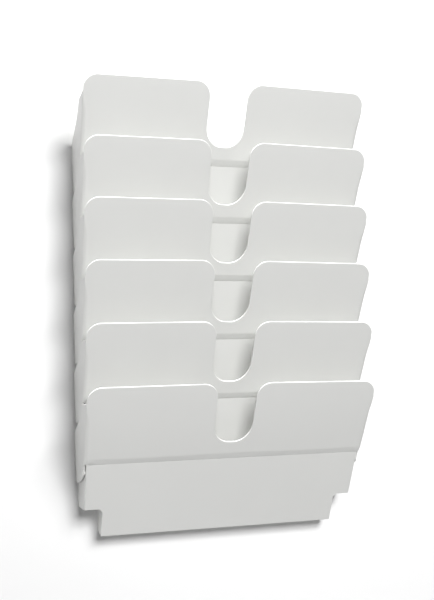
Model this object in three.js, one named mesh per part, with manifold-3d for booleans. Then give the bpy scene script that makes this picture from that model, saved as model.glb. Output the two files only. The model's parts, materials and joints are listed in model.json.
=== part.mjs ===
// Wall-hung file sorter: six identical moulded trays, each plugged on to the
// foot of the tray above, with keyhole screws and wall plugs behind the top one.
// Millimetres. +Z up, +Y into the wall, -Y towards the user, +X to the right.
// The origin is the middle of the top tray's wall pad, on the wall's face.
import * as THREE from 'three';
import Module from 'manifold-3d';

const wasm = await Module();
wasm.setup();
const { Manifold, CrossSection } = wasm;
wasm.setCircularSegments(32);

// ---- driving dimensions -------------------------------------------------

const TRAY_COUNT = 6;
const PITCH = 71; // from one tray's top edge to the next
const WALL = 2.5; // moulded wall thickness
const GAP = 0.5; // clearance where one tray plugs into the next
const TOUCH = 0.3; // clearance between touching pieces

// One tray, with z measured from its own top edge and y from the wall.
const TOP_HALF = 175; // half width at the top edge
const TAPER = 0.027; // half width lost per mm downwards
const CROWN = 1.4; // fall of the top edge from the middle to the ends
const DEPTH = 120; // wall to the top edge
const CREASE_Z = -88.5; // foot of the leaning panel
const CREASE_Y = -67.7;
const LEAN = [0.4915, 0.00074]; // y gained per mm down, and per mm squared
const FOOT_ROUND_Z = -80; // the panel starts to round in here
const TAB_R = 17; // outer top corners
const REAR_Y = -0.8; // back face, behind which only the pad stands

const NOTCH_HALF = 23.5;
const NOTCH_Z = -69.5;
const NOTCH_MOUTH_R = 17;
const NOTCH_BASE_R = 21;

const LOWER_HALF = 169.4; // foot of the tray, half width at the crease
const SHOULDER_Z = -143.3;
const TONGUE_HALF = 146.6;
const TONGUE_FILLET = 6;
const BOTTOM_Z = -177;
const BOTTOM_Y = -24.6;
const HEEL_Z = -173.5; // the tongue's floor rises towards the wall
const TONGUE_BACK_Y = REAR_Y - WALL - GAP;

const BACK_TOP_Z = -74; // top of the back wall, just under the tray above
const LEDGE = 3.2; // thickness where the side flap steps in to the foot

// Side flap: its top edge and its bottom edge, from front to wall, as (y, z).
const FLAP_TOP = [[-78, -19.5], [-68, -26], [-60, -32], [-50, -37.5], [-38, -42],
  [-28, -45.5], [-12, -50.5], [REAR_Y, -54]];
const FLAP_BOTTOM = [[-66, -96], [-60, -101], [-50, -105.5], [-36, -110],
  [-22, -113], [-3.5, -114.5], [REAR_Y, -112]];

// Socket guides that hold the tongue of the tray above.
const GUIDE_TOP_Z = -77;
const GUIDE_BOTTOM_Z = -108;
const GUIDE_WALL = 2.2;
const FLANGE_REACH = 9;

// Hanging: pad, keyholes, screws and plugs.
const PAD = { half: 90, top: -114, bottom: -134 };
const HANG_X = 110;
const HANG_Z = -117;
const KEYHOLE_DROP = 12;
const HEAD_R = 4;
const HEAD_H = 2.4;
const SHANK_R = 2;
const SCREW_TIP_Y = 32;
const PLUG_R = 3;
const PLUG_END_Y = 30;

const ORIGIN_Z = (PAD.top + PAD.bottom) / 2; // the origin, in the top tray's z

// ---- helpers --------------------------------------------------------------

// A (y, z) profile swept across the width, centred on x = 0.
function sweepAcross(points, half) {
  const solid = Manifold.extrude(new CrossSection([points]), 2 * half);
  return solid.transform([0, 1, 0, 0, 0, 0, 1, 0, 1, 0, 0, 0, -half, 0, 0, 1]);
}

// An (x, z) outline swept from yBack forwards to yFront.
function sweepForward(section, yBack, yFront) {
  const solid = Manifold.extrude(section, yBack - yFront);
  return solid.transform([1, 0, 0, 0, 0, 0, 1, 0, 0, -1, 0, 0, 0, yBack, 0, 1]);
}

// A block between two corners.
function block(low, high) {
  const size = high.map((value, axis) => value - low[axis]);
  return Manifold.cube(size).translate(low);
}

// Points of an arc about a centre, from one angle to another in degrees.
function arc(cx, cz, radius, from, to, steps) {
  const points = [];
  for (let i = 0; i <= steps; i++) {
    const angle = THREE.MathUtils.degToRad(from + (to - from) * i / steps);
    points.push([cx + radius * Math.cos(angle), cz + radius * Math.sin(angle)]);
  }
  return points;
}

// A polygon wound anticlockwise, whichever way it was listed.
function section(points) {
  let area = 0;
  points.forEach(([x, y], i) => {
    const [nx, ny] = points[(i + 1) % points.length];
    area += x * ny - nx * y;
  });
  return new CrossSection([area < 0 ? [...points].reverse() : points]);
}

const mirrorX = (points) => points.map(([x, z]) => [-x, z]).reverse();
const halfAt = (z) => TOP_HALF + TAPER * z;
const lowerHalfAt = (z) => LOWER_HALF + TAPER * (z - CREASE_Z);

// ---- the tray's lines -------------------------------------------------------

const leanY = (z) => -DEPTH - LEAN[0] * z + LEAN[1] * z * z;
const lowerY = (z) => CREASE_Y
  + (BOTTOM_Y - CREASE_Y) * (z - CREASE_Z) / (BOTTOM_Z - CREASE_Z);

// The leaning panel's outer face, from the top edge to the crease.
function panelCurve() {
  const points = [];
  const steps = 6;
  for (let i = 0; i < steps; i++) {
    const z = FOOT_ROUND_Z * i / steps;
    points.push([leanY(z), z]);
  }
  const start = new THREE.Vector2(leanY(FOOT_ROUND_Z), FOOT_ROUND_Z);
  const end = new THREE.Vector2(CREASE_Y, CREASE_Z);
  const corner = new THREE.Vector2(start.x + 0.61 * 4.5, FOOT_ROUND_Z - 4.5);
  const foot = new THREE.QuadraticBezierCurve(start, corner, end);
  return points.concat(foot.getPoints(4).map((p) => [p.x, p.y]));
}

// Front outline of the panel: two tabs with a finger notch between them.
function tabOutline() {
  const tabTop = (x) => -CROWN * Math.abs(x) / TOP_HALF;
  const corner = halfAt(-TAB_R) - TAB_R;
  const mouth = NOTCH_HALF + NOTCH_MOUTH_R;
  const base = NOTCH_Z + NOTCH_BASE_R;
  const inset = NOTCH_HALF - NOTCH_BASE_R;
  const right = [
    ...arc(inset, base, NOTCH_BASE_R, -90, 0, 7),
    ...arc(mouth, tabTop(mouth) - NOTCH_MOUTH_R, NOTCH_MOUTH_R, 180, 90, 7),
    ...arc(corner, tabTop(corner) - TAB_R, TAB_R, 90, 0, 7),
    [halfAt(-150), -150],
  ];
  return section([...mirrorX(right), ...right]);
}

// Plain tapered outline, from above the top edge to well below the crease.
function taperedOutline(halfWidth, inset) {
  const [top, bottom] = [20, -200];
  return section([
    [-halfWidth(top) + inset, top], [halfWidth(top) - inset, top],
    [halfWidth(bottom) - inset, bottom], [-halfWidth(bottom) + inset, bottom],
  ]);
}

// Front outline of the foot: shoulders, then the narrower tongue.
function footOutline() {
  const fillet = TONGUE_HALF + TONGUE_FILLET;
  const right = [
    [TONGUE_HALF, BOTTOM_Z - 5],
    ...arc(fillet, SHOULDER_Z - TONGUE_FILLET, TONGUE_FILLET, 180, 90, 5),
    [lowerHalfAt(SHOULDER_Z), SHOULDER_Z],
    [lowerHalfAt(0), 0],
  ];
  return section([...mirrorX(right), ...right]);
}

// ---- solids -----------------------------------------------------------------

function upperShell() {
  const front = panelCurve();
  const across = TOP_HALF + 5;
  const flapFront = leanY(FLAP_TOP[0][1]) + WALL;
  const outer = sweepAcross([
    ...front, ...FLAP_BOTTOM, ...[...FLAP_TOP].reverse(),
    [flapFront, FLAP_TOP[0][1]], [front[0][0] + WALL, 0],
  ], across);
  const ledge = FLAP_BOTTOM.slice(0, -1).map(([y, z]) => [y, z + LEDGE]);
  const innerBack = REAR_Y - WALL;
  const inner = sweepAcross([
    [front[0][0] + WALL, 40],
    ...front.slice(0, -1).map(([y, z]) => [y + WALL, z]),
    [CREASE_Y + WALL, CREASE_Z + LEDGE],
    ...ledge.slice(0, -1),
    [innerBack, ledge[ledge.length - 1][1]],
    [innerBack, BACK_TOP_Z], [20, BACK_TOP_Z], [20, 40],
  ], across);
  const outside = outer.intersect(sweepForward(tabOutline(), 30, -DEPTH - 10));
  const inside = inner.intersect(
    sweepForward(taperedOutline(halfAt, WALL), 30, -DEPTH - 10));
  return { outside, inside };
}

function foot() {
  const outline = footOutline();
  const top = CREASE_Z + LEDGE;
  const innerBack = REAR_Y - WALL;
  const tongueInner = TONGUE_BACK_Y - WALL;
  const outer = sweepAcross([
    [lowerY(CREASE_Z), CREASE_Z], [BOTTOM_Y, BOTTOM_Z], [TONGUE_BACK_Y, HEEL_Z],
    [TONGUE_BACK_Y, SHOULDER_Z], [REAR_Y, SHOULDER_Z], [REAR_Y, top],
    [CREASE_Y + 1, top],
  ], TOP_HALF);
  const floorZ = BOTTOM_Z + WALL;
  const inner = sweepAcross([
    [lowerY(top) + WALL, top + 12], [lowerY(CREASE_Z) + WALL, CREASE_Z],
    [lowerY(floorZ) + WALL, floorZ],
    [tongueInner, HEEL_Z + WALL], [tongueInner, SHOULDER_Z + WALL],
    [innerBack, SHOULDER_Z + WALL], [innerBack, top + 12],
  ], TOP_HALF);
  const outside = outer.intersect(sweepForward(outline, 30, -DEPTH));
  const inset = outline.offset(-WALL, 'Miter');
  const inside = inner.intersect(sweepForward(inset, 30, -DEPTH));
  return { outside, inside };
}

// Two guides that clasp the tongue of the tray above, one at each side.
function guides() {
  const rib = TONGUE_HALF + GAP;
  const front = (z) => lowerY(z - PITCH) - GAP;
  const root = REAR_Y - WALL / 2;
  const web = [
    [root, GUIDE_TOP_Z], [root, GUIDE_BOTTOM_Z],
    [front(GUIDE_BOTTOM_Z) - GUIDE_WALL, GUIDE_BOTTOM_Z],
    [front(GUIDE_TOP_Z) - GUIDE_WALL, GUIDE_TOP_Z],
  ];
  const flange = [
    [front(GUIDE_TOP_Z), GUIDE_TOP_Z], [front(GUIDE_BOTTOM_Z), GUIDE_BOTTOM_Z],
    web[2], web[3],
  ];
  const side = section(web);
  const lip = section(flange);
  const cut = (profile, from, to) => sweepAcross(profile.toPolygons()[0], TOP_HALF)
    .intersect(block([from, -DEPTH, -200], [to, 10, 0]));
  const right = cut(side, rib, rib + GUIDE_WALL)
    .add(cut(lip, rib - FLANGE_REACH, rib + GUIDE_WALL));
  return right.add(right.mirror([1, 0, 0]));
}

// A keyhole that drops over a screw head: round below, a slot above.
function keyhole(x) {
  const hole = CrossSection.circle(HEAD_R + 0.6)
    .translate([x, HANG_Z - KEYHOLE_DROP]);
  const slotR = SHANK_R + TOUCH;
  const slot = CrossSection.hull([
    CrossSection.circle(slotR).translate([x, HANG_Z]),
    CrossSection.circle(slotR).translate([x, HANG_Z - KEYHOLE_DROP]),
  ]);
  return sweepForward(hole.add(slot), 10, REAR_Y - WALL - 1);
}

function tray() {
  const shell = upperShell();
  const base = foot();
  const pad = block([-PAD.half, REAR_Y - 1, PAD.bottom], [PAD.half, 0, PAD.top]);
  return shell.outside.add(base.outside)
    .subtract(shell.inside).subtract(base.inside)
    .add(guides()).add(pad)
    .subtract(keyhole(-HANG_X)).subtract(keyhole(HANG_X));
}

// A turned piece about the y axis, from (y, radius) points.
function turned(points) {
  const solid = Manifold.revolve(new CrossSection([points.map(([y, r]) => [r, y])]), 32);
  return solid.transform([1, 0, 0, 0, 0, 0, -1, 0, 0, 1, 0, 0, 0, 0, 0, 1]);
}

function screw() {
  const seat = REAR_Y - WALL - TOUCH;
  const face = seat - HEAD_H;
  const body = turned([
    [face, 0], [face, 2.4], [face + 0.5, 3.4], [face + 1.3, HEAD_R],
    [seat, HEAD_R], [seat, SHANK_R], [SCREW_TIP_Y - 5, SHANK_R],
    [SCREW_TIP_Y, 0.3], [SCREW_TIP_Y, 0],
  ]);
  const slot = block([-2.2, face - 1, -0.45], [2.2, face + 1.3, 0.45]);
  return body.subtract(slot).subtract(slot.rotate([0, 90, 0]));
}

function plug() {
  const bore = SHANK_R + TOUCH;
  return turned([
    [0.6, bore], [0.6, PLUG_R + 0.8], [1.6, PLUG_R + 0.8], [1.6, PLUG_R],
    [PLUG_END_Y - 4, PLUG_R], [PLUG_END_Y, PLUG_R - 0.5], [PLUG_END_Y, bore],
  ]);
}

// ---- assembly -----------------------------------------------------------------

function toGeometry(solid) {
  const mesh = solid.getMesh();
  const geometry = new THREE.BufferGeometry();
  geometry.setAttribute('position',
    new THREE.BufferAttribute(new Float32Array(mesh.vertProperties), 3));
  geometry.setIndex(new THREE.BufferAttribute(new Uint32Array(mesh.triVerts), 1));
  return geometry;
}

function addMesh(group, name, geometry, look, x, z) {
  const mesh = new THREE.Mesh(geometry, new THREE.MeshStandardMaterial(look));
  mesh.name = name;
  mesh.position.set(x, 0, z);
  group.add(mesh);
}

const WHITE = { color: 0xe4e4e0, roughness: 0.42, metalness: 0 };
const STEEL = { color: 0xb4b6ba, roughness: 0.3, metalness: 0.9 };
const NYLON = { color: 0x9a9c9e, roughness: 0.6, metalness: 0 };

const group = new THREE.Group();
group.name = 'wall_file_sorter';

const trayGeometry = toGeometry(tray());
for (let i = 0; i < TRAY_COUNT; i++) {
  addMesh(group, `tray_${i + 1}`, trayGeometry, WHITE, 0, -ORIGIN_Z - i * PITCH);
}

const screwGeometry = toGeometry(screw());
const plugGeometry = toGeometry(plug());
for (const [side, x] of [['left', -HANG_X], ['right', HANG_X]]) {
  addMesh(group, `screw_${side}`, screwGeometry, STEEL, x, HANG_Z - ORIGIN_Z);
  addMesh(group, `wall_plug_${side}`, plugGeometry, NYLON, x, HANG_Z - ORIGIN_Z);
}

export default group;
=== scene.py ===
"""Wall file sorter: six leaning trays hung from two screws, and their stage."""
import json
import math

import bmesh
import bpy
from bpy.props import FloatProperty, FloatVectorProperty, IntProperty, PointerProperty
from mathutils import Matrix, Vector
from mathutils.geometry import delaunay_2d_cdt, intersect_point_line


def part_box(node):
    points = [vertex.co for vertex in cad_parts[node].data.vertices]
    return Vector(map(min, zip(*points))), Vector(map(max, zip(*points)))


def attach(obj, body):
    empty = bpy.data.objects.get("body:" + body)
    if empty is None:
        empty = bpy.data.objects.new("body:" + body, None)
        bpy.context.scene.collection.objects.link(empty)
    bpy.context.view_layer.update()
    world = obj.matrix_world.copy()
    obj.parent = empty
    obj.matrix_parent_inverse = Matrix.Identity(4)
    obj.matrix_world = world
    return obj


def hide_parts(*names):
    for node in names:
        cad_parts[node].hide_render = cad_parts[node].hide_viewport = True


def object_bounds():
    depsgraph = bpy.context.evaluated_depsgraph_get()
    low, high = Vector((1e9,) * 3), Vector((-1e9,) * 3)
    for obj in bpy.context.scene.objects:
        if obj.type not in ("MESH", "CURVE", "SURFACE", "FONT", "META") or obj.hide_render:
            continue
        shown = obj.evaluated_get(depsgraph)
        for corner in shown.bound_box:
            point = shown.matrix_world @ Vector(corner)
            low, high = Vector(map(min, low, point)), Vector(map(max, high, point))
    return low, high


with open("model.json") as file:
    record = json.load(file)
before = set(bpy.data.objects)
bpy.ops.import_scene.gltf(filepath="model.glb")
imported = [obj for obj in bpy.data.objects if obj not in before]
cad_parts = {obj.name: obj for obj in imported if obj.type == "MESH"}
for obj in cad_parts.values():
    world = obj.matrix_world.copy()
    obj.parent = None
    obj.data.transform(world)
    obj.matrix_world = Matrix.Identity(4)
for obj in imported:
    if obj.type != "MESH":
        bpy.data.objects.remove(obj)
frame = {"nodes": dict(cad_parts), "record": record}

bl_info = {
    "name": "Wall File Sorter",
    "version": (1, 0, 0),
    "blender": (4, 5, 0),
    "location": "View3D > Sidebar > File Sorter",
    "description": "Builds a wall-hung sorter of leaning file trays and its stage",
    "category": "Add Mesh",
}

CAD_BOX = [list(corner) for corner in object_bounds()]
BODIES = frame["record"]["behaviour"]["bodies"]
TRAYS = sorted(node for node in frame["nodes"] if node.startswith("tray_"))
SIDES = ("left", "right")
FOOT_DROP = 0.177  # from a tray's top edge to the underside of its tongue


def body_of_node(node):
    """The CAD body that a node belongs to."""
    return next(body for body, nodes in BODIES.items() if node in nodes)


def tray_top(node):
    """Height of a tray's top edge, in the row frame."""
    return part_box(node)[0][2] + FOOT_DROP


def screw_centre(side):
    """The axis of a wall screw, as its x and z."""
    low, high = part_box("screw_" + side)
    return (low[0] + high[0]) / 2, (low[2] + high[2]) / 2


# ---- properties -------------------------------------------------------------


def length(name, description, default):
    """A length property in metres."""
    return FloatProperty(
        name=name, description=description, default=default, min=0.0, unit="LENGTH"
    )


class TraySizes(bpy.types.PropertyGroup):
    """Sizes of one moulded tray. Drops are measured down from its top edge."""

    half_width: length("Half width", "Half the width at the top edge", 0.175)
    taper: FloatProperty(
        name="Taper", description="Half width lost per metre of drop", default=0.027
    )
    crown: length("Crown", "Fall of the top edge from middle to ends", 0.0014)
    depth: length("Depth", "Wall to the top edge of the panel", 0.120)
    lean: FloatProperty(
        name="Lean", description="Run of the panel per metre of drop", default=0.4915
    )
    lean_curve: FloatProperty(
        name="Lean curve", description="Extra run per square metre", default=0.74
    )
    round_drop: length("Rounding drop", "Where the panel rounds in", 0.0822)
    round_knee: length("Rounding knee", "Height of the rounding's knee", 0.0040)
    panel_end: length("Panel end", "Lower edge of the leaning panel", 0.0898)
    crease_drop: length("Crease drop", "Foot of the leaning panel", 0.0885)
    crease_reach: length("Crease reach", "Wall to the crease", 0.0677)
    wall: length("Wall", "Moulded wall thickness", 0.0022)
    rim_round: length("Rim rounding", "Rounding along every rim", 0.0008)
    rim_rise: length("Rim rise", "Back of the rim above its front", 0.00095)
    corner_round: length("Corner rounding", "Upright corners of the shell", 0.0055)
    tab_round: length("Tab rounding", "Outer top corner of a tab", 0.017)
    notch_half: length("Notch half width", "Half the finger notch", 0.0235)
    notch_drop: length("Notch drop", "Lowest point of the notch", 0.0695)
    notch_mouth: length("Notch mouth", "Rounding at the notch's mouth", 0.017)
    notch_base: length("Notch base", "Rounding at the notch's base", 0.021)
    foot_half: length("Foot half width", "Half the foot at the crease", 0.1694)
    foot_corner: length("Foot corner", "Upright front corners of the foot", 0.0045)
    foot_splay: length("Foot splay", "Spread of the rear lower corners", 0.0018)
    shoulder_drop: length("Shoulder drop", "Underside of the shoulders", 0.1433)
    tongue_half: length("Tongue half width", "Half the narrow tongue", 0.1466)
    tongue_fillet: length("Tongue fillet", "Corner under a shoulder", 0.006)
    foot_reach: length("Foot reach", "Wall to the tongue's front edge", 0.0246)
    heel_drop: length("Heel drop", "Rear of the tongue's floor", 0.1735)
    rear: length("Rear gap", "Wall to the back plate", 0.0008)
    tongue_rear: length("Tongue rear gap", "Wall to the tongue's back", 0.0038)
    back_drop: length("Back drop", "Top of the back plate", 0.074)
    guide_drop: length("Guide drop", "Top of the tongue guides", 0.077)
    guide_foot: length("Guide foot", "Bottom of the tongue guides", 0.108)
    guide_wall: length("Guide wall", "Thickness of a guide", 0.0022)
    guide_lip: length("Guide lip", "Reach of a guide's lip", 0.009)
    plug_gap: length("Plug gap", "Clearance between guide and tongue", 0.0005)


class FixingSizes(bpy.types.PropertyGroup):
    """Sizes of the wall screws and plugs."""

    head_radius: length("Head radius", "Pan head of the screw", 0.004)
    head_height: length("Head height", "Pan head of the screw", 0.0024)
    shank_radius: length("Shank radius", "Over the thread's crest", 0.002)
    thread_depth: length("Thread depth", "Crest to root", 0.00045)
    thread_pitch: length("Thread pitch", "Between turns", 0.0018)
    plug_radius: length("Plug radius", "Outside of the wall plug", 0.003)
    keyhole_drop: length("Keyhole drop", "From slot end to round hole", 0.012)
    turns: IntProperty(name="Facets", description="Facets round a turning", default=48)


class FinishColours(bpy.types.PropertyGroup):
    """Colours of the mouldings and fixings."""

    white: FloatVectorProperty(
        name="White plastic",
        description="Moulded trays",
        subtype="COLOR",
        default=(0.80, 0.803, 0.785),
        min=0.0,
        max=1.0,
    )
    zinc: FloatVectorProperty(
        name="Zinc", description="Screws", subtype="COLOR", default=(0.56, 0.57, 0.6)
    )
    nylon: FloatVectorProperty(
        name="Nylon", description="Plugs", subtype="COLOR", default=(0.32, 0.33, 0.34)
    )


class StageSettings(bpy.types.PropertyGroup):
    """Camera, wall, floor and lights."""

    camera_place: FloatVectorProperty(
        name="Camera place",
        description="Where the camera stands",
        subtype="TRANSLATION",
        unit="LENGTH",
        default=(-0.3146, -1.0771, -0.2306),
    )
    camera_yaw: FloatProperty(
        name="Yaw",
        description="Turn of the view to the right",
        subtype="ANGLE",
        default=math.radians(16.864),
    )
    camera_pitch: FloatProperty(
        name="Pitch",
        description="Tilt of the view upwards",
        subtype="ANGLE",
        default=math.radians(5.405),
    )
    camera_roll: FloatProperty(
        name="Roll",
        description="Roll of the view",
        subtype="ANGLE",
        default=math.radians(-1.48),
    )
    lens: FloatProperty(
        name="Lens", description="Focal length in millimetres", default=52.46
    )
    floor_drop: length("Floor drop", "Floor below the origin", 1.3)
    wall_power: FloatProperty(name="Wall", description="Wall light, watts", default=48.0)
    side_power: FloatProperty(
        name="Side", description="Wall side light, watts", default=14.0
    )
    front_power: FloatProperty(name="Front", description="Front light, watts", default=96.0)
    top_power: FloatProperty(name="Top", description="Top light, watts", default=38.0)
    rear_power: FloatProperty(name="Rear", description="Rear light, watts", default=20.0)
    sky: FloatProperty(name="Sky", description="Even light all round", default=0.06)


class FileSorterSettings(bpy.types.PropertyGroup):
    """Everything that the sorter is built from."""

    tray: PointerProperty(type=TraySizes)
    fixing: PointerProperty(type=FixingSizes)
    finish: PointerProperty(type=FinishColours)
    stage: PointerProperty(type=StageSettings)


# ---- finishes ---------------------------------------------------------------


def new_material(name):
    """A fresh node material, its node tree and its shader."""
    material = bpy.data.materials.new(name)
    material.use_nodes = True
    tree = material.node_tree
    return material, tree, tree.nodes["Principled BSDF"]


def add_node(tree, kind, inputs=None, **settings):
    """A shader node with its settings and input values."""
    node = tree.nodes.new(kind)
    for key, value in settings.items():
        setattr(node, key, value)
    for key, value in (inputs or {}).items():
        node.inputs[key].default_value = value
    return node


def noise(tree, scale, detail=2.0):
    """A noise texture in the piece's own space."""
    where = add_node(tree, "ShaderNodeTexCoord")
    grain = add_node(
        tree, "ShaderNodeTexNoise", {"Scale": scale, "Detail": detail}
    )
    tree.links.new(where.outputs["Object"], grain.inputs["Vector"])
    return grain.outputs["Fac"]


def ranged(tree, source, low, high):
    """The source, mapped to the range from low to high."""
    span = add_node(
        tree,
        "ShaderNodeMapRange",
        {"From Min": 0.3, "From Max": 0.7, "To Min": low, "To Max": high},
    )
    tree.links.new(source, span.inputs["Value"])
    return span.outputs["Result"]


def tinted(tree, source, colour, darker):
    """A colour that drifts between full and slightly darker."""
    mix = add_node(tree, "ShaderNodeMix", data_type="RGBA")
    tree.links.new(source, mix.inputs["Factor"])
    mix.inputs["A"].default_value = (*colour, 1.0)
    mix.inputs["B"].default_value = (*[part * darker for part in colour], 1.0)
    return mix.outputs["Result"]


def bumped(tree, shader, layers):
    """Chains bumps of (height, strength, distance) into the shader's normal."""
    normal = None
    for height, strength, distance in layers:
        bump = add_node(
            tree, "ShaderNodeBump", {"Strength": strength, "Distance": distance}
        )
        tree.links.new(height, bump.inputs["Height"])
        if normal:
            tree.links.new(normal, bump.inputs["Normal"])
        normal = bump.outputs["Normal"]
    tree.links.new(normal, shader.inputs["Normal"])


def white_plastic(colour):
    """Satin moulded polystyrene with a fine spark-eroded grain."""
    material, tree, shader = new_material("white_plastic")
    drift = noise(tree, 14.0, 3.0)
    grain = noise(tree, 1400.0, 1.0)
    flow = noise(tree, 30.0, 1.0)
    tree.links.new(
        tinted(tree, ranged(tree, drift, 0.0, 1.0), colour, 0.985),
        shader.inputs["Base Color"],
    )
    tree.links.new(ranged(tree, flow, 0.34, 0.44), shader.inputs["Roughness"])
    bumped(tree, shader, [(flow, 0.15, 0.0004), (grain, 0.12, 0.00004)])
    shader.inputs["IOR"].default_value = 1.5
    return material


def zinc_plate(colour):
    """Zinc-plated steel with fine turning marks and dulled patches."""
    material, tree, shader = new_material("zinc_steel")
    patches = noise(tree, 260.0, 4.0)
    marks = noise(tree, 5200.0, 2.0)
    tree.links.new(
        tinted(tree, ranged(tree, patches, 0.0, 1.0), colour, 0.8),
        shader.inputs["Base Color"],
    )
    tree.links.new(ranged(tree, patches, 0.24, 0.42), shader.inputs["Roughness"])
    bumped(tree, shader, [(marks, 0.3, 0.00003)])
    shader.inputs["Metallic"].default_value = 1.0
    return material


def grey_nylon(colour):
    """Dull moulded nylon."""
    material, tree, shader = new_material("grey_nylon")
    cloud = noise(tree, 220.0, 3.0)
    grain = noise(tree, 3600.0, 1.0)
    tree.links.new(
        tinted(tree, ranged(tree, cloud, 0.0, 1.0), colour, 0.9),
        shader.inputs["Base Color"],
    )
    tree.links.new(ranged(tree, cloud, 0.5, 0.66), shader.inputs["Roughness"])
    bumped(tree, shader, [(grain, 0.3, 0.00005)])
    return material


# ---- tray lines -------------------------------------------------------------

# Side flap, as (y, z) from the panel to the wall, in metres.
FLAP_TOP = [
    (-0.0780, -0.0195), (-0.0680, -0.0260), (-0.0600, -0.0320), (-0.0500, -0.0375),
    (-0.0380, -0.0420), (-0.0280, -0.0455), (-0.0120, -0.0505), (-0.0008, -0.0540),
]
FLAP_BOTTOM = [
    (-0.0620, -0.0990), (-0.0590, -0.1018), (-0.0500, -0.1055), (-0.0360, -0.1100),
    (-0.0220, -0.1130), (-0.0035, -0.1145), (-0.0008, -0.1120),
]
LEDGE = 0.0032  # thickness where the flap steps in to the foot
CORNER_FADE = 0.025  # drop over which the upright corner comes to its full rounding
SKIN_WELD = 1e-5  # corners closer than this are one corner
SLIVER_WELD = 6e-6  # edges shorter than this are closed up after rounding
SHORTEST_RIM = 1.3  # rim edges shorter than this many roundings stay sharp


def half_at(sizes, z):
    """Half width of the upper shell at a height."""
    return sizes.half_width + sizes.taper * z


def foot_half_at(sizes, z):
    """Half width of the foot at a height."""
    return sizes.foot_half + sizes.taper * (z + sizes.crease_drop)


def flank_x(sizes, y, z):
    """Side of the foot, which spreads a little towards its rear lower corner."""
    fall = (z + sizes.crease_drop) / (sizes.crease_drop - sizes.shoulder_drop)
    back = 1 - y / foot_y(sizes, z)
    return foot_half_at(sizes, z) + sizes.foot_splay * min(max(fall, 0), 1) * back


def foot_y(sizes, z):
    """Front face of the foot at a height."""
    run = (sizes.crease_reach - sizes.foot_reach) / (FOOT_DROP - sizes.crease_drop)
    return -sizes.crease_reach - run * (z + sizes.crease_drop)


def panel_y(sizes, z):
    """Front face of the leaning panel, which rounds in above the crease."""
    end = -sizes.panel_end
    if z <= end:
        return foot_y(sizes, z)
    start = -sizes.round_drop
    leaning = max(z, start)
    y = -sizes.depth - sizes.lean * leaning + sizes.lean_curve * leaning**2
    if z >= start:
        return y
    knee = start - sizes.round_knee
    slope = sizes.lean - 2 * sizes.lean_curve * start
    knee_y = y + slope * sizes.round_knee
    a = start - 2 * knee + end
    b = 2 * (knee - start)
    c = start - z
    t = -c / b if abs(a) < 1e-9 else (-b - math.sqrt(b * b - 4 * a * c)) / (2 * a)
    return (1 - t) ** 2 * y + 2 * t * (1 - t) * knee_y + t * t * foot_y(sizes, end)


def corner_at(sizes, z):
    """Radius of the upright corner, which dies out at the top of the flap."""
    fade = min(max((FLAP_TOP[0][1] - z) / CORNER_FADE, 0.0), 1.0)
    fade = fade * fade * (3 - 2 * fade)
    return sizes.rim_round + (sizes.corner_round - sizes.rim_round) * fade


def arc(centre, radius, start, end, steps):
    """Points of an arc, from start to end in degrees."""
    points = []
    for step in range(steps + 1):
        angle = math.radians(start + (end - start) * step / steps)
        points.append(
            (centre[0] + radius * math.cos(angle), centre[1] + radius * math.sin(angle))
        )
    return points


def smooth_line(points, per_span):
    """A smooth curve through the points."""
    ends = [points[0], *points, points[-1]]
    line = []
    for i in range(1, len(ends) - 2):
        p0, p1, p2, p3 = (Vector(p) for p in ends[i - 1 : i + 3])
        for step in range(per_span):
            t = step / per_span
            line.append(
                tuple(
                    0.5
                    * (
                        2 * p1
                        + (p2 - p0) * t
                        + (2 * p0 - 5 * p1 + 4 * p2 - p3) * t**2
                        + (3 * p1 - p0 - 3 * p2 + p3) * t**3
                    )
                )
            )
    return [*line, tuple(points[-1])]


def divided(points, step):
    """The same line with no stretch longer than step."""
    line = []
    for a, b in zip(points, points[1:]):
        a, b = Vector(a), Vector(b)
        count = max(1, math.ceil((b - a).length / step))
        line += [tuple(a.lerp(b, i / count)) for i in range(count)]
    return [*line, tuple(points[-1])]


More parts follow.
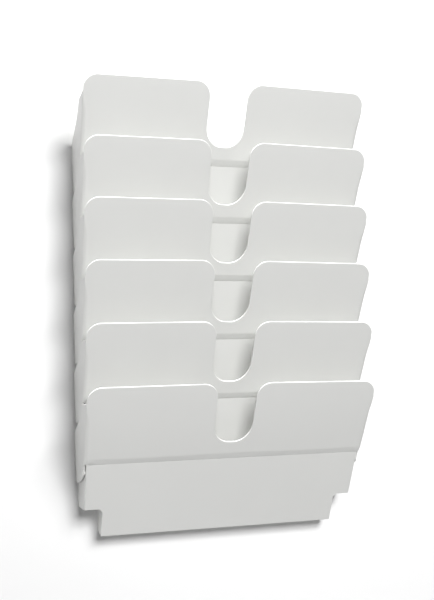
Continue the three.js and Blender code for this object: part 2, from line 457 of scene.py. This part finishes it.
class Sheet:
    """The upper shell laid flat: across the panel, round its corners, to the wall."""

    def __init__(self, sizes):
        self.sizes = sizes
        self.front = sizes.half_width
        self.bend = sizes.corner_round * math.pi / 2

    def from_front(self, x, z):
        """A point of the panel on the flat sheet."""
        flat = half_at(self.sizes, z) - corner_at(self.sizes, z)
        return x / flat * self.front, z

    def from_side(self, y, z):
        """A point of the right flap on the flat sheet."""
        corner = corner_at(self.sizes, z)
        run = y - panel_y(self.sizes, z) - corner
        return self.front + self.bend + run, z

    def folded(self, u, z):
        """A point of the flat sheet, back in its place on the tray."""
        side = math.copysign(1.0, u)
        corner = corner_at(self.sizes, z)
        half, y = half_at(self.sizes, z), panel_y(self.sizes, z)
        flat, u = half - corner, abs(u)
        if u <= self.front:
            return Vector((side * flat * u / self.front, y, z))
        if u <= self.front + self.bend:
            turn = (u - self.front) / self.bend * math.pi / 2
            x = flat + corner * math.sin(turn)
            return Vector((side * x, y + corner * (1 - math.cos(turn)), z))
        return Vector((side * half, y + corner + u - self.front - self.bend, z))

    def outline(self):
        """Outline of the sheet, right half first, from the notch to the crease."""
        s = self.sizes
        crease = -s.panel_end
        base = (s.notch_half - s.notch_base, s.notch_base - s.notch_drop)
        mouth_x = s.notch_half + s.notch_mouth
        fall = s.crown / s.half_width
        top = -s.rim_rise
        mouth = (mouth_x, top - fall * mouth_x - s.notch_mouth)
        tab_x = half_at(s, -s.tab_round) - s.tab_round
        tab = (tab_x, top - fall * tab_x - s.tab_round)
        tab_end = tab_x + s.tab_round - s.rim_round
        panel = [
            *arc(base, s.notch_base, -90, 0, 12),
            *arc(mouth, s.notch_mouth, 180, 90, 14),
            *[
                (min(x, tab_end), z)
                for x, z in arc(tab, s.tab_round, 90, 0, 14)
            ],
        ]
        panel = [self.from_front(x, z) for x, z in divided(panel, 0.006)]
        flap_z = FLAP_TOP[0][1]
        rise = [(self.front, flap_z), (self.front + self.bend, flap_z)]
        over = [self.from_side(y, z) for y, z in smooth_line(FLAP_TOP, 3)]
        under = [self.from_side(y, z) for y, z in smooth_line(FLAP_BOTTOM, 3)]
        wrap = self.front + 0.58 * self.bend
        foot = [(wrap + 0.0004, -0.0965), (wrap, crease), (self.front, crease)]
        edge = [*panel, *rise, *over, *reversed(under), *foot, (0.0, crease)]
        right = spaced(divided(edge, 0.006), 0.001)
        left = [(-u, z) for u, z in reversed(right)]
        return right[:-1] + left[:-1]


def inside(point, outline):
    """Whether a point lies inside a closed outline."""
    x, y = point
    crossed = False
    for (ax, ay), (bx, by) in zip(outline, outline[1:] + outline[:1]):
        if (ay > y) != (by > y) and x < ax + (bx - ax) * (y - ay) / (by - ay):
            crossed = not crossed
    return crossed


def apart(point, outline, gap):
    """Whether a point keeps a gap from every side of an outline."""
    place = Vector(point)
    for a, b in zip(outline, outline[1:] + outline[:1]):
        near, along = intersect_point_line(place, a, b)
        near = near if 0 < along < 1 else Vector(a if along <= 0 else b)
        if (place - near.to_2d()).length < gap:
            return False
    return True


def spaced(points, gap):
    """The line without the points that crowd the one before."""
    line = [points[0]]
    for point in points[1:-1]:
        if math.dist(point, line[-1]) > gap and math.dist(point, points[-1]) > gap:
            line.append(point)
    return [*line, points[-1]]


def fill_flat(outline, inner=(), holes=()):
    """Triangles over an outline, with inner points and holes cut out."""
    loops = [list(outline), *[list(hole) for hole in holes]]
    points, edges = [], []
    for loop in loops:
        first = len(points)
        points += [Vector(p) for p in loop]
        edges += [
            (first + i, first + (i + 1) % len(loop)) for i in range(len(loop))
        ]
    points += [Vector(p) for p in inner]
    verts, _, faces, *_ = delaunay_2d_cdt(points, edges, [], 1, 1e-7)
    kept = []
    for face in faces:
        middle = sum((verts[i] for i in face), Vector((0, 0))) / len(face)
        if not any(inside(middle, loop) for loop in loops[1:]):
            kept.append(face)
    return verts, kept


# ---- mesh tools -------------------------------------------------------------


def mesh_from(name, verts, faces):
    """A mesh with its faces turned the same way."""
    mesh = bpy.data.meshes.new(name)
    mesh.from_pydata([tuple(v) for v in verts], [], [list(f) for f in faces])
    mesh.validate()
    return mesh


def cleaned(mesh, weld=1e-6, outwards=True):
    """Welds the mesh and turns its faces outwards."""
    shape = bmesh.new()
    shape.from_mesh(mesh)
    bmesh.ops.remove_doubles(shape, verts=shape.verts, dist=weld)
    bmesh.ops.dissolve_degenerate(shape, dist=weld, edges=shape.edges)
    if outwards:
        bmesh.ops.recalc_face_normals(shape, faces=shape.faces)
    shape.to_mesh(mesh)
    shape.free()
    return mesh


def with_modifiers(mesh, *steps):
    """The mesh after its modifiers, each given as (type, settings)."""
    piece = bpy.data.objects.new("work", mesh)
    bpy.context.scene.collection.objects.link(piece)
    for kind, settings in steps:
        modifier = piece.modifiers.new(kind.lower(), kind)
        for key, value in settings.items():
            setattr(modifier, key, value)
    graph = bpy.context.evaluated_depsgraph_get()
    made = bpy.data.meshes.new_from_object(piece.evaluated_get(graph))
    bpy.data.objects.remove(piece)
    return made


def rounded(width, segments=3, angle=40):
    """Bevel settings that round every sharp edge."""
    return (
        "BEVEL",
        {
            "width": width,
            "segments": segments,
            "limit_method": "ANGLE",
            "angle_limit": math.radians(angle),
            "use_clamp_overlap": True,
        },
    )


def joined(name, meshes):
    """One mesh made of several."""
    shape = bmesh.new()
    for mesh in meshes:
        shape.from_mesh(mesh)
    made = bpy.data.meshes.new(name)
    shape.to_mesh(made)
    shape.free()
    return made


def prism(name, profile, low, high):
    """A (y, z) profile given a thickness in x from low to high."""
    count = len(profile)
    verts = [(x, y, z) for x in (low, high) for y, z in profile]
    faces = [range(count), range(2 * count - 1, count - 1, -1)]
    faces += [
        (i, (i + 1) % count, count + (i + 1) % count, count + i) for i in range(count)
    ]
    return cleaned(mesh_from(name, verts, faces))


def box_mesh(name, low, high):
    """A box between two corners."""
    profile = [
        (low[1], low[2]), (high[1], low[2]), (high[1], high[2]), (low[1], high[2])
    ]
    return prism(name, profile, low[0], high[0])


def mirrored(mesh):
    """A copy of the mesh on the other side of the middle plane."""
    copy = mesh.copy()
    copy.transform(Matrix.Scale(-1, 4, (1, 0, 0)))
    copy.flip_normals()
    return copy


def add_piece(name, mesh, material, node, z=0.0):
    """Places a finished piece, stands it in for a CAD node and rides its body."""
    piece = bpy.data.objects.new(name, mesh)
    bpy.context.scene.collection.objects.link(piece)
    piece.location.z = z
    if not mesh.materials:
        mesh.materials.append(material)
    shading = piece.modifiers.new("even shading", "WEIGHTED_NORMAL")
    shading.keep_sharp = True
    bpy.context.view_layer.update()
    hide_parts(node)
    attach(piece, body_of_node(node))
    return piece


# ---- tray parts -------------------------------------------------------------


def upper_skin(sizes):
    """The leaning panel with its tabs, notch and side flaps, as one skin."""
    sheet = Sheet(sizes)
    outline = sheet.outline()
    reach = max(u for u, _ in outline)
    rows = [-0.115 + 0.006 * i for i in range(4)]
    rows += [-sizes.panel_end + 0.0009 * i for i in range(1, 11)]
    rows += [-0.076 + 0.006 * i for i in range(12)]
    bend = [sheet.front + sheet.bend * i / 7 for i in range(8)]
    columns = [0.012 * i for i in range(15)]
    columns += bend + [bend[-1] + 0.011 * i for i in range(1, 12)]
    inner = []
    for u in columns:
        for side in (-1, 1) if u else (1,):
            for z in rows:
                point = (side * u, z)
                if u < reach and inside(point, outline) and apart(point, outline, 0.0017):
                    inner.append(point)
    verts, faces = fill_flat(outline, inner)
    mesh = mesh_from("upper_skin", [sheet.folded(*v) for v in verts], faces)
    return outward_skin(mesh, sizes)


def facing_out(mesh):
    """The mesh opened for work, with welded faces that look outwards."""
    shape = bmesh.new()
    shape.from_mesh(mesh)
    bmesh.ops.remove_doubles(shape, verts=shape.verts, dist=SKIN_WELD)
    bmesh.ops.recalc_face_normals(shape, faces=shape.faces)
    front = min(shape.faces, key=lambda face: face.calc_center_median().y)
    if front.normal.y > 0:
        bmesh.ops.reverse_faces(shape, faces=shape.faces)
    return shape


def thickening(sizes, **more):
    """Solidify settings that give a skin its wall, inwards."""
    return (
        "SOLIDIFY",
        {"thickness": sizes.wall, "offset": -1.0, "use_even_offset": True, **more},
    )


def outward_skin(mesh, sizes):
    """Thickens a skin inwards and rounds its rims, which are marked material 1."""
    shape = facing_out(mesh)
    shape.to_mesh(mesh)
    shape.free()
    for _ in range(2):
        mesh.materials.append(None)
    thick = with_modifiers(mesh, thickening(sizes, material_offset_rim=1))
    shape = bmesh.new()
    shape.from_mesh(thick)
    rims = [
        edge for edge in shape.edges
        if {face.material_index for face in edge.link_faces} == {0, 1}
        and edge.calc_length() > sizes.rim_round * SHORTEST_RIM
    ]
    round_edges(shape, rims, sizes.rim_round, 3)
    for face in shape.faces:
        face.material_index = 0
        face.smooth = True
    shape.to_mesh(thick)
    shape.free()
    thick.materials.clear()
    return cleaned(thick, SLIVER_WELD, outwards=False)


def foot_outline(sizes):
    """Right half of the foot's front outline, from the top to the tongue."""
    s = sizes
    fillet = (s.tongue_half + s.tongue_fillet, -s.shoulder_drop - s.tongue_fillet)
    return [
        (foot_half_at(s, LEDGE - s.crease_drop), LEDGE - s.crease_drop),
        (foot_half_at(s, -s.shoulder_drop), -s.shoulder_drop),
        *arc(fillet, s.tongue_fillet, 90, 180, 6),
        (s.tongue_half, -FOOT_DROP),
    ]


def keyhole_outline(fixing, x, z):
    """A keyhole: a slot with a round hole below it."""
    slot, hole = fixing.shank_radius + 0.0003, fixing.head_radius + 0.0006
    drop = fixing.keyhole_drop
    meet = math.degrees(math.asin(slot / hole))
    return [
        *[(x + a, z + b) for a, b in arc((0, 0), slot, 0, 180, 10)],
        *[(x + a, z - drop + b) for a, b in arc((0, 0), hole, 90 + meet, 450 - meet, 20)],
    ]


def foot_skin(sizes, fixing):
    """The foot: front, sides, shoulders, tongue and the back plate."""
    s = sizes
    right = foot_outline(s)
    ring = right + [(-x, z) for x, z in reversed(right)]
    verts, faces = [], []

    def add_face(points):
        first = len(verts)
        verts.extend(points)
        faces.append(range(first, len(verts)))

    def add_filled(outline, holes, place):
        flat, made = fill_flat(outline, (), holes)
        first = len(verts)
        verts.extend(place(u, v) for u, v in flat)
        faces.extend([first + i for i in face] for face in made)

    rear, tongue_rear = -s.rear, -s.tongue_rear
    shoulder = -s.shoulder_drop
    tongue = right[2:]
    add_filled(ring, [], lambda x, z: (x, foot_y(s, z), z))
    ledge = [(y, z + LEDGE) for y, z in smooth_line(FLAP_BOTTOM[:-1], 2)]
    for side in (-1, 1):
        flank = [
            (foot_y(s, shoulder), shoulder), (rear, shoulder), (rear, ledge[-1][1]),
            *reversed(ledge), (foot_y(s, right[0][1]), right[0][1]),
        ]
        add_filled(
            flank, [], lambda y, z, side=side: (side * flank_x(s, y, z), y, z)
        )
        for (ax, az), (bx, bz) in zip(tongue[:-1], tongue[1:-1]):
            add_face([
                (side * ax, foot_y(s, az), az), (side * ax, tongue_rear, az),
                (side * bx, tongue_rear, bz), (side * bx, foot_y(s, bz), bz),
            ])
        top = tongue[-2][1]
        add_face([
            (side * s.tongue_half, foot_y(s, top), top),
            (side * s.tongue_half, tongue_rear, top),
            (side * s.tongue_half, tongue_rear, -s.heel_drop),
            (side * s.tongue_half, -s.foot_reach, -FOOT_DROP),
        ])
    outer, inner = right[1][0], right[2][0]
    wide = flank_x(s, rear, shoulder)
    step = foot_y(s, shoulder)
    add_filled(
        [(outer, step), (wide, rear), (-wide, rear), (-outer, step),
         (-inner, step), (-inner, tongue_rear), (inner, tongue_rear), (inner, step)],
        [],
        lambda x, y: (x, y, shoulder),
    )
    add_face([
        (s.tongue_half, -s.foot_reach, -FOOT_DROP),
        (s.tongue_half, tongue_rear, -s.heel_drop),
        (-s.tongue_half, tongue_rear, -s.heel_drop),
        (-s.tongue_half, -s.foot_reach, -FOOT_DROP),
    ])
    heel = tongue[:-1] + [(s.tongue_half, -s.heel_drop)]
    add_filled(
        heel + [(-x, z) for x, z in reversed(heel)], [],
        lambda x, z: (x, tongue_rear, z),
    )
    turn_z, top_z = ledge[-1][1], -s.back_drop
    plate = [
        (wide, shoulder), (flank_x(s, rear, turn_z), turn_z),
        (half_at(s, turn_z) - s.wall / 2, turn_z),
        (half_at(s, top_z) - s.wall / 2, top_z),
    ]
    x, z = screw_centre("right")
    z -= tray_top(TRAYS[0])
    holes = [keyhole_outline(fixing, side * x, z) for side in (-1, 1)]
    add_filled(
        plate + [(-x, z) for x, z in reversed(plate)], holes,
        lambda x, z: (x, rear, z),
    )
    mesh = mesh_from("foot_skin", verts, faces)
    return outward_foot(mesh, s)


def outward_foot(mesh, sizes):
    """Welds the foot's faces, rounds its edges and thickens it inwards."""
    shape = facing_out(mesh)
    bmesh.ops.dissolve_limit(
        shape, angle_limit=math.radians(0.5), verts=shape.verts, edges=shape.edges
    )
    ends = {round(LEDGE - sizes.crease_drop, 4), round(-sizes.shoulder_drop, 4)}
    corners = [
        edge for edge in shape.edges
        if {round(vert.co.z, 4) for vert in edge.verts} == ends
        and edge.verts[0].co.y < -sizes.foot_reach
    ]
    round_edges(shape, corners, sizes.foot_corner, 6)
    sharp = [
        edge for edge in shape.edges
        if len(edge.link_faces) == 2 and edge.calc_face_angle() > math.radians(40)
    ]
    round_edges(shape, sharp, 0.0014, 4)
    shape.to_mesh(mesh)
    shape.free()
    return with_modifiers(
        mesh,
        thickening(sizes),
        rounded(sizes.rim_round * 0.6, 2, 60),
    )


def round_edges(shape, edges, width, steps):
    """Rounds some edges of a mesh that is being worked on."""
    bmesh.ops.bevel(
        shape, geom=edges, offset=width, segments=steps, profile=0.5,
        affect="EDGES", clamp_overlap=True,
    )


def guide_meshes(sizes):
    """Two guides that clasp the tongue of the tray above."""
    s = sizes
    pitch = tray_top(TRAYS[0]) - tray_top(TRAYS[1])
    rib = s.tongue_half + s.plug_gap

    def front(z):
        return foot_y(s, z - pitch) - s.plug_gap

    top, bottom = -s.guide_drop, -s.guide_foot
    root = -s.rear - s.wall / 2
    web = [
        (root, top), (root, bottom),
        (front(bottom) - s.guide_wall, bottom), (front(top) - s.guide_wall, top),
    ]
    lip = [(front(top), top), (front(bottom), bottom), web[2], web[3]]
    made = []
    for profile, low in ((web, rib), (lip, rib - s.guide_lip)):
        blank = prism("guide", profile, low, rib + s.guide_wall)
        solid = with_modifiers(blank, rounded(0.0003, 2, 40))
        made += [solid, mirrored(solid)]
    return made


def pad_mesh(sizes):
    """The raised pad that bears on the wall."""
    low, high = (-0.090, -sizes.rear - 0.001, -0.134), (0.090, 0.0, -0.114)
    return with_modifiers(box_mesh("pad", low, high), rounded(0.0003, 2, 40))


# ---- fixings ----------------------------------------------------------------


def turned(name, profile, facets):
    """A turned piece about the y axis, from (y, radius) points."""
    shape = bmesh.new()
    line = [shape.verts.new((r, y, 0.0)) for y, r in profile]
    edges = [shape.edges.new(pair) for pair in zip(line, line[1:])]
    bmesh.ops.spin(
        shape, geom=line + edges, cent=(0, 0, 0), axis=(0, 1, 0),
        angle=2 * math.pi, steps=facets, use_duplicate=False,
    )
    bmesh.ops.remove_doubles(shape, verts=shape.verts, dist=1e-7)
    bmesh.ops.dissolve_degenerate(shape, dist=1e-7, edges=shape.edges)
    bmesh.ops.recalc_face_normals(shape, faces=shape.faces)
    mesh = bpy.data.meshes.new(name)
    shape.to_mesh(mesh)
    shape.free()
    return mesh


def thread_mesh(fixing, start, end):
    """A V thread wound along the shank."""
    root = fixing.shank_radius - fixing.thread_depth
    facets = 24
    turns = (end - start) / fixing.thread_pitch
    verts, faces = [], []
    for step in range(int(turns * facets) + 1):
        angle = 2 * math.pi * step / facets
        y = start + fixing.thread_pitch * step / facets
        swell = min(1.0, step / facets, turns - step / facets)
        crest = root + fixing.thread_depth * max(swell, 0.05)
        flank = root - 0.0001
        for radius, shift in ((flank, -0.0005), (crest, 0.0), (flank, 0.0005)):
            verts.append((radius * math.cos(angle), y + shift, radius * math.sin(angle)))
        if step:
            a, b = 3 * (step - 1), 3 * step
            faces += [(a, a + 1, b + 1, b), (a + 1, a + 2, b + 2, b + 1)]
            faces.append((a + 2, a, b, b + 2))
    last = len(verts) - 3
    faces += [(0, 2, 1), (last, last + 1, last + 2)]
    return cleaned(mesh_from("thread", verts, faces), 1e-7)


def cross_recess(face, depth):
    """A tapered cross that is cut into the screw's head."""
    bars = []
    for turn in (0, 90):
        bar = bmesh.new()
        bmesh.ops.create_cube(bar, size=1.0)
        for vert in bar.verts:
            deep = vert.co.y > 0
            vert.co.x *= 0.0022 if deep else 0.0046
            vert.co.z *= 0.0007 if deep else 0.0011
            vert.co.y = face + depth if deep else face - 0.001
        mesh = bpy.data.meshes.new("recess")
        bar.to_mesh(mesh)
        bar.free()
        mesh.transform(Matrix.Rotation(math.radians(turn), 4, "Y"))
        bars.append(mesh)
    return bars


def cut(mesh, cutters):
    """The mesh with each cutter taken out of it."""
    for cutter in cutters:
        tool = bpy.data.objects.new("tool", cutter)
        bpy.context.scene.collection.objects.link(tool)
        mesh = with_modifiers(
            mesh, ("BOOLEAN", {"object": tool, "operation": "DIFFERENCE"})
        )
        bpy.data.objects.remove(tool)
    return mesh


def screw_mesh(fixing, seat, tip):
    """A pan-head wall screw with a cross recess and a coarse thread."""
    f = fixing
    face = seat - f.head_height
    dome = [
        (seat - f.head_height * math.cos(math.radians(a)) * 0.72 - 0.0005,
         f.head_radius * math.sin(math.radians(a)))
        for a in range(0, 91, 9)
    ]
    root = f.shank_radius - f.thread_depth
    head = turned(
        "head",
        [(face, 0.0), *[(max(y, face), r) for y, r in dome[1:]],
         (seat - 0.0003, f.head_radius), (seat, f.head_radius - 0.0003),
         (seat, root), (tip - 0.005, root), (tip, 0.0002), (tip, 0.0)],
        f.turns,
    )
    head = cut(head, cross_recess(face, 0.0013))
    return joined("screw", [head, thread_mesh(f, seat + 0.004, tip - 0.004)])


def plug_mesh(fixing, mouth, end):
    """A ribbed wall plug with a collar, split along two sides."""
    f = fixing
    bore = f.shank_radius + 0.0003
    outer = [(mouth, bore), (mouth, f.plug_radius + 0.0007)]
    outer += [
        (mouth + 0.001, f.plug_radius + 0.0007),
        (mouth + 0.0012, f.plug_radius - 0.0003),
    ]
    ribs = 8
    span = (end - mouth - 0.006) / ribs
    for rib in range(ribs):
        start = mouth + 0.003 + span * rib
        outer += [
            (start, f.plug_radius), (start + span * 0.55, f.plug_radius),
            (start + span * 0.7, f.plug_radius - 0.0004),
            (start + span, f.plug_radius - 0.0004),
        ]
    outer += [(end - 0.001, f.plug_radius - 0.0003), (end, f.plug_radius - 0.0006)]
    outer += [(end, bore), (mouth, bore)]
    shell = turned("plug", outer, f.turns)
    slit = box_mesh("slit", (-0.0004, mouth + 0.006, -0.01), (0.0004, end - 0.002, 0.01))
    return cut(shell, [slit])


# ---- operators --------------------------------------------------------------


def settings(context):
    """The sorter's settings in this scene."""
    return context.scene.file_sorter


class SORTER_OT_add_trays(bpy.types.Operator):
    """Build the moulded trays and plug each one under the last"""

    bl_idname = "file_sorter.add_trays"
    bl_label = "Add Trays"

    def execute(self, context):
        chosen = settings(context)
        sizes = chosen.tray
        mesh = joined(
            "tray",
            [
                upper_skin(sizes),
                foot_skin(sizes, chosen.fixing),
                pad_mesh(sizes),
                *guide_meshes(sizes),
            ],
        )
        mesh.shade_smooth()
        mesh.set_sharp_from_angle(angle=math.radians(38))
        material = white_plastic(chosen.finish.white)
        for node in TRAYS:
            add_piece(
                node + "_moulding", mesh, material, node, tray_top(node)
            )
        return {"FINISHED"}


class SORTER_OT_add_screws(bpy.types.Operator):
    """Drive the two wall screws that the top tray hangs on"""

    bl_idname = "file_sorter.add_screws"
    bl_label = "Add Wall Screws"

    def execute(self, context):
        chosen = settings(context)
        material = zinc_plate(chosen.finish.zinc)
        for side in SIDES:
            node = "screw_" + side
            low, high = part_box(node)
            seat = low[1] + chosen.fixing.head_height
            mesh = screw_mesh(chosen.fixing, seat, high[1])
            x, z = screw_centre(side)
            mesh.transform(Matrix.Translation((x, 0.0, z)))
            mesh.shade_smooth()
            mesh.set_sharp_from_angle(angle=math.radians(38))
            add_piece(node + "_fixing", mesh, material, node)
        return {"FINISHED"}


class SORTER_OT_add_plugs(bpy.types.Operator):
    """Set the nylon plugs that the screws bite into"""

    bl_idname = "file_sorter.add_plugs"
    bl_label = "Add Wall Plugs"

    def execute(self, context):
        chosen = settings(context)
        material = grey_nylon(chosen.finish.nylon)
        for side in SIDES:
            node = "wall_plug_" + side
            low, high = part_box(node)
            mesh = plug_mesh(chosen.fixing, low[1], high[1])
            x, z = screw_centre(side)
            mesh.transform(Matrix.Translation((x, 0.0, z)))
            mesh.shade_smooth()
            mesh.set_sharp_from_angle(angle=math.radians(38))
            add_piece(node + "_fixing", mesh, material, node)
        return {"FINISHED"}


STAGE_HALF_WIDTH, WALL_RISE = 3.0, 2.2
WALL_GAP = 0.0004  # between the wall pad and the stage wall
WALL_SHADE, FLOOR_SHADE = 0.92, 0.45
SKY_SEEN = 0.92  # brightness of the background where the stage ends
LIGHTS = {  # degrees to the right, degrees up, distance, size
    "wall": (5, 20, 2.2, 0.8),
    "side": (20, 30, 2.2, 0.6),
    "front": (-5, 20, 3.2, 1.4),
    "top": (0, 70, 1.6, 0.7),
    "rear": (165, 25, 2.4, 1.2),
}


def backdrop(name, corners, shade):
    """A pale stage plane that is see-through from behind."""
    mesh = mesh_from(name, corners, [range(4)])
    plane = bpy.data.objects.new(name, mesh)
    bpy.context.scene.collection.objects.link(plane)
    plane.visible_shadow = False
    material, tree, shader = new_material(name)
    mottle = ranged(tree, noise(tree, 3.0, 1.0), 0.0, 1.0)
    tree.links.new(tinted(tree, mottle, (shade,) * 3, 0.995), shader.inputs["Base Color"])
    shader.inputs["Roughness"].default_value = 0.9
    shader.inputs["Specular IOR Level"].default_value = 0.0
    behind = add_node(tree, "ShaderNodeNewGeometry").outputs["Backfacing"]
    clear = add_node(tree, "ShaderNodeBsdfTransparent")
    either = add_node(tree, "ShaderNodeMixShader")
    tree.links.new(behind, either.inputs["Fac"])
    tree.links.new(shader.outputs["BSDF"], either.inputs[1])
    tree.links.new(clear.outputs["BSDF"], either.inputs[2])
    output = next(node for node in tree.nodes if node.type == "OUTPUT_MATERIAL")
    tree.links.new(either.outputs["Shader"], output.inputs["Surface"])
    mesh.materials.append(material)
    return plane


def lit_group(name, pieces, state):
    """A light group that takes in, or leaves out, the given pieces."""
    group = bpy.data.collections.new(name)
    for piece in pieces:
        group.objects.link(piece)
    for member in group.collection_objects:
        member.light_linking.link_state = state
    return group


def softbox(name, target, turn, rise, distance, size, watts, group):
    """A square area light, turned to the right and raised by degrees."""
    lamp = bpy.data.lights.new(name, "AREA")
    lamp.size, lamp.energy = size, watts
    light = bpy.data.objects.new(name, lamp)
    bpy.context.scene.collection.objects.link(light)
    light.light_linking.receiver_collection = group
    turn, rise = math.radians(turn), math.radians(rise)
    aim = Vector(
        (-math.sin(turn) * math.cos(rise), math.cos(turn) * math.cos(rise), -math.sin(rise))
    )
    light.location = target - aim * distance
    light.rotation_euler = aim.to_track_quat("-Z", "Y").to_euler()


class SORTER_OT_set_stage(bpy.types.Operator):
    """Set the pale wall and floor, the soft studio lights and the camera"""

    bl_idname = "file_sorter.set_stage"
    bl_label = "Set Stage"

    def execute(self, context):
        stage = settings(context).stage
        scene = context.scene
        low, high = (Vector(corner) for corner in CAD_BOX)
        middle = (low + high) / 2
        wide, drop, rise = STAGE_HALF_WIDTH, -stage.floor_drop, WALL_RISE
        behind = WALL_GAP
        wall = backdrop(
            "wall",
            [(-wide, behind, drop), (wide, behind, drop),
             (wide, behind, rise), (-wide, behind, rise)],
            WALL_SHADE,
        )
        floor = backdrop(
            "floor",
            [(-wide, -wide, drop), (wide, -wide, drop),
             (wide, behind, drop), (-wide, behind, drop)],
            FLOOR_SHADE,
        )
        on_stage = lit_group("stage_only", (wall, floor), "INCLUDE")
        on_sorter = lit_group("sorter_only", (wall, floor), "EXCLUDE")
        groups = {"wall": on_stage, "side": on_stage}
        for light, place in LIGHTS.items():
            watts = getattr(stage, light + "_power")
            softbox(light, middle, *place, watts, groups.get(light, on_sorter))
        world = bpy.data.worlds.new("studio")
        world.use_nodes = True
        tree = world.node_tree
        seen = add_node(tree, "ShaderNodeLightPath").outputs["Is Camera Ray"]
        level = add_node(
            tree, "ShaderNodeMapRange", {"To Min": stage.sky, "To Max": SKY_SEEN}
        )
        tree.links.new(seen, level.inputs["Value"])
        tree.links.new(level.outputs["Result"], tree.nodes["Background"].inputs["Strength"])
        tree.nodes["Background"].inputs["Color"].default_value = (1.0, 1.0, 1.0, 1.0)
        scene.world = world
        scene.view_settings.view_transform = "Standard"
        eye = bpy.data.cameras.new("camera")
        eye.lens, eye.sensor_width = stage.lens, 36.0
        camera = bpy.data.objects.new("camera", eye)
        scene.collection.objects.link(camera)
        camera.location = stage.camera_place
        camera.rotation_euler = (
            Matrix.Rotation(-stage.camera_yaw, 3, "Z")
            @ Matrix.Rotation(math.pi / 2 + stage.camera_pitch, 3, "X")
            @ Matrix.Rotation(stage.camera_roll, 3, "Z")
        ).to_euler()
        scene.camera = camera
        return {"FINISHED"}


class SORTER_PT_panel(bpy.types.Panel):
    """The sorter's operators and settings in the 3D view's sidebar"""

    bl_label = "File Sorter"
    bl_idname = "SORTER_PT_panel"
    bl_space_type = "VIEW_3D"
    bl_region_type = "UI"
    bl_category = "File Sorter"

    def draw(self, context):
        layout = self.layout
        for operator in OPERATORS:
            layout.operator(operator.bl_idname)
        chosen = settings(context)
        for title in ("tray", "fixing", "finish", "stage"):
            group = getattr(chosen, title)
            box = layout.box()
            box.label(text=title.capitalize())
            for name in group.__annotations__:
                box.prop(group, name)


OPERATORS = (
    SORTER_OT_set_stage,
    SORTER_OT_add_trays,
    SORTER_OT_add_screws,
    SORTER_OT_add_plugs,
)
CLASSES = (
    TraySizes,
    FixingSizes,
    FinishColours,
    StageSettings,
    FileSorterSettings,
    *OPERATORS,
    SORTER_PT_panel,
)


def register():
    """Registers the classes and the scene's settings."""
    for item in CLASSES:
        bpy.utils.register_class(item)
    bpy.types.Scene.file_sorter = PointerProperty(type=FileSorterSettings)


def unregister():
    """Takes the classes and settings away again."""
    del bpy.types.Scene.file_sorter
    for item in reversed(CLASSES):
        bpy.utils.unregister_class(item)


def main():
    """Builds the sorter and its stage."""
    register()
    bpy.ops.file_sorter.set_stage()
    bpy.ops.file_sorter.add_trays()
    bpy.ops.file_sorter.add_screws()
    bpy.ops.file_sorter.add_plugs()


if __name__ == "__main__":
    main()
